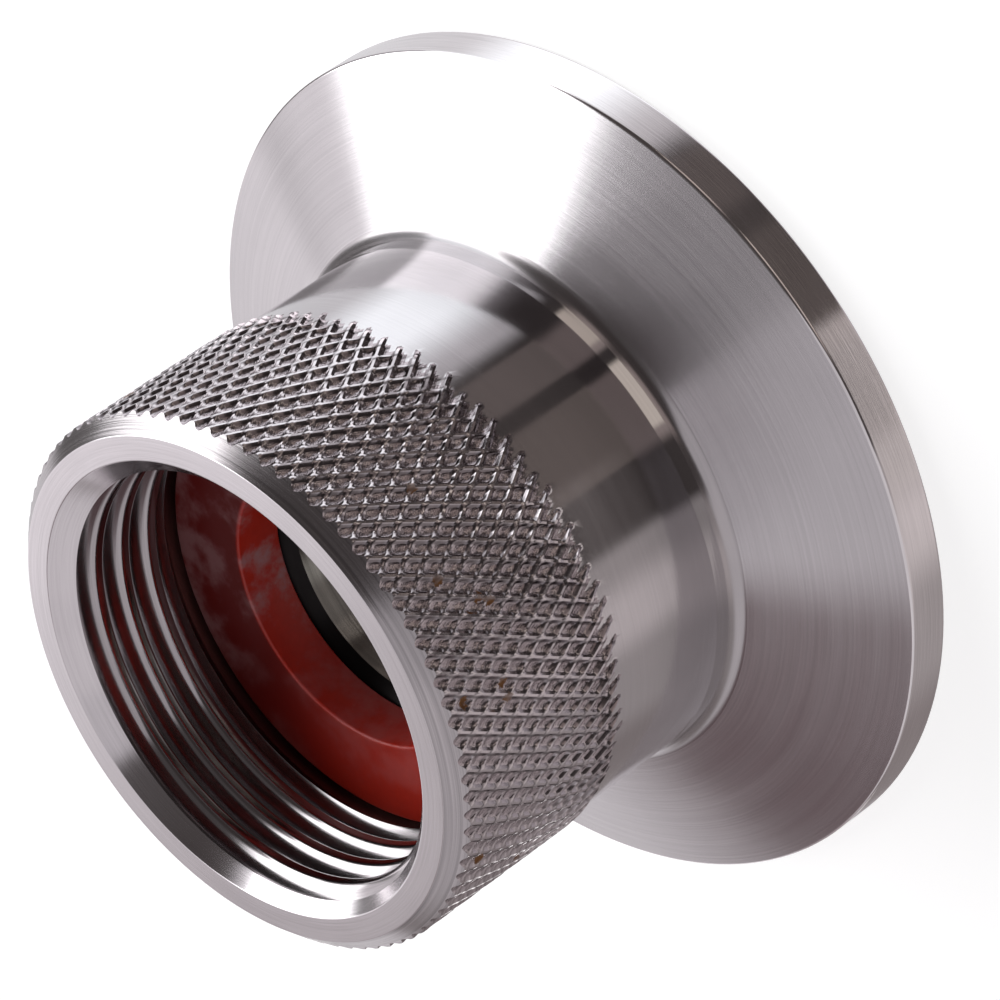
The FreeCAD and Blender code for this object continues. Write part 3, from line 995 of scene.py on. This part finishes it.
def panel_group():
    """A soft-edged, leaning panel on the sky: one where a direction falls within it."""
    names = ("Azimuth", "Elevation", "Middle Azimuth", "Middle Elevation", "Half Width", "Half Height",
             "Softness", "Lean")
    group, given, result = new_group(
        "studio_panel", [(name, "NodeSocketFloat", 0.0) for name in names], [("Mask", "NodeSocketFloat")])
    value = given.outputs

    def inside(distance, half):
        """Fades from one to zero over the panel's soft edge."""
        outer = calc(group, "ADD", half, value["Softness"])
        inner = calc(group, "SUBTRACT", half, value["Softness"])
        return spread(group, distance, outer, inner, 0.0, 1.0, True)

    raised = calc(group, "SUBTRACT", value["Elevation"], value["Middle Elevation"])
    tall = inside(calc(group, "ABSOLUTE", raised), value["Half Height"])
    leant = calc(group, "ADD", value["Middle Azimuth"], calc(group, "MULTIPLY", value["Lean"], raised))
    turned = calc(group, "WRAP", calc(group, "SUBTRACT", value["Azimuth"], leant), 180.0, -180.0)
    wide = inside(calc(group, "ABSOLUTE", turned), value["Half Width"])
    group.links.new(calc(group, "MULTIPLY", wide, tall), result.inputs["Mask"])
    return group


def reaches(panel, sides, levels):
    """Whether a panel lies partly between two angles off the front, on either side, and two elevations."""
    _, middle, level, half_width, half_height, softness, lean, _, _ = panel
    tall = half_height + softness
    wide = half_width + softness + abs(lean) * tall
    return (abs(middle) - wide < sides[1] and abs(middle) + wide > sides[0]
            and level - tall < levels[1] and level + tall > levels[0])


def background(tree, colour):
    """A plain sky of one colour, or of the colour that a socket gives."""
    node = tree.nodes.new("ShaderNodeBackground")
    wire(tree, colour, node.inputs["Color"])
    return node.outputs["Background"]


def either(tree, share, first, second):
    """The first shader where the share is zero, and the second where it is one."""
    node = tree.nodes.new("ShaderNodeMixShader")
    for socket, value in zip(node.inputs, (share, first, second)):
        tree.links.new(value, socket)
    return node.outputs["Shader"]


def light_studio():
    """Soft panels all round, and a pale background behind what the camera sees."""
    world = bpy.data.worlds.new("studio")
    bpy.context.scene.world = world
    world.use_nodes = True
    tree = world.node_tree
    tree.nodes.clear()
    x, y, z = parts_of(tree, tree.nodes.new("ShaderNodeTexCoord").outputs["Generated"])
    azimuth = calc(tree, "DEGREES", calc(tree, "ARCTAN2", x, calc(tree, "MULTIPLY", y, -1.0)))
    elevation = calc(tree, "DEGREES", calc(tree, "ARCSINE", z))
    group = panel_group()

    def part(sides, levels):
        """The part of the sky between two angles off the front and two elevations."""
        sky = opaque(SKY)
        for panel in PANELS:
            if not reaches(panel, sides, levels):
                continue
            name, middle, level, half_width, half_height, softness, lean, colour, strength = panel
            mask = place_group(tree, group, name, Azimuth=azimuth, Elevation=elevation,
                               Middle_Azimuth=middle, Middle_Elevation=level, Half_Width=half_width,
                               Half_Height=half_height, Softness=softness, Lean=lean)["Mask"]
            sky = blend_colour(tree, mask, sky, opaque(strength * c for c in colour))
        return background(tree, sky)

    off_front = calc(tree, "GREATER_THAN", calc(tree, "ABSOLUTE", azimuth), SPLIT_SIDE)
    raised = calc(tree, "GREATER_THAN", elevation, SPLIT_LEVEL)
    front, back = (0.0, SPLIT_SIDE), (SPLIT_SIDE, 180.0)
    low, high = (-90.0, SPLIT_LEVEL), (SPLIT_LEVEL, 90.0)
    lower_sky = either(tree, off_front, part(front, low), part(back, low))
    upper_sky = either(tree, off_front, part(front, high), part(back, high))
    reflected = either(tree, raised, lower_sky, upper_sky)
    is_seen = tree.nodes.new("ShaderNodeLightPath").outputs["Is Camera Ray"]
    whole = either(tree, is_seen, reflected, background(tree, (1.0, 1.0, 1.0, 1.0)))
    output = tree.nodes.new("ShaderNodeOutputWorld")
    tree.links.new(whole, output.inputs["Surface"])


def make_floor():
    """A wide pale floor just under the sealing face."""
    mesh = bpy.data.meshes.new("floor")
    corners = [(-FLOOR_REACH, -FLOOR_REACH), (FLOOR_REACH, -FLOOR_REACH),
               (FLOOR_REACH, FLOOR_REACH), (-FLOOR_REACH, FLOOR_REACH)]
    mesh.from_pydata([(x, y, -FLOOR_GAP * MM) for x, y in corners], [], [(0, 1, 2, 3)])
    floor = bpy.data.objects.new("floor", mesh)
    bpy.context.scene.collection.objects.link(floor)
    material, tree, shader = principled("pale_floor")
    shader.inputs["Base Color"].default_value = (0.5, 0.5, 0.5, 1.0)
    shader.inputs["Roughness"].default_value = 0.9
    shader.inputs["Emission Color"].default_value = (1.0, 1.0, 1.0, 1.0)
    shader.inputs["Emission Strength"].default_value = 0.72
    mesh.materials.append(material)
    floor.visible_glossy = False
    floor.visible_diffuse = False
    floor.visible_shadow = False


# The camera's place behind and above the origin, the point it looks at, its roll in degrees and its lens
CAMERA_BACK = 272.73
CAMERA_UP = 202.78
AIM = (0.325, 0.0, 7.11)
CAMERA_ROLL = -124.51
CAMERA_LENS = 220.48


def place_camera():
    """The photograph's camera: from the front and above, with the axis leaning to the left."""
    camera = bpy.data.cameras.new("camera")
    camera.lens = CAMERA_LENS
    camera.sensor_width = 36.0
    camera.clip_start = 0.01
    holder = bpy.data.objects.new("camera", camera)
    bpy.context.scene.collection.objects.link(holder)
    place = Vector((0.0, -CAMERA_BACK, CAMERA_UP)) * MM
    look = Vector(AIM) * MM - place
    upright = look.to_track_quat("-Z", "Y").to_matrix().to_4x4()
    roll = Matrix.Rotation(math.radians(CAMERA_ROLL), 4, "Z")
    holder.matrix_world = Matrix.Translation(place) @ upright @ roll
    bpy.context.scene.camera = holder


fitting = make_fitting()
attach(fitting, "root")
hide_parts("fitting_body")

washer = make_washer()
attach(washer, "root")
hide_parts("hose_washer")

make_floor()
light_studio()
place_camera()
bpy.context.scene.view_settings.view_transform = "Standard"
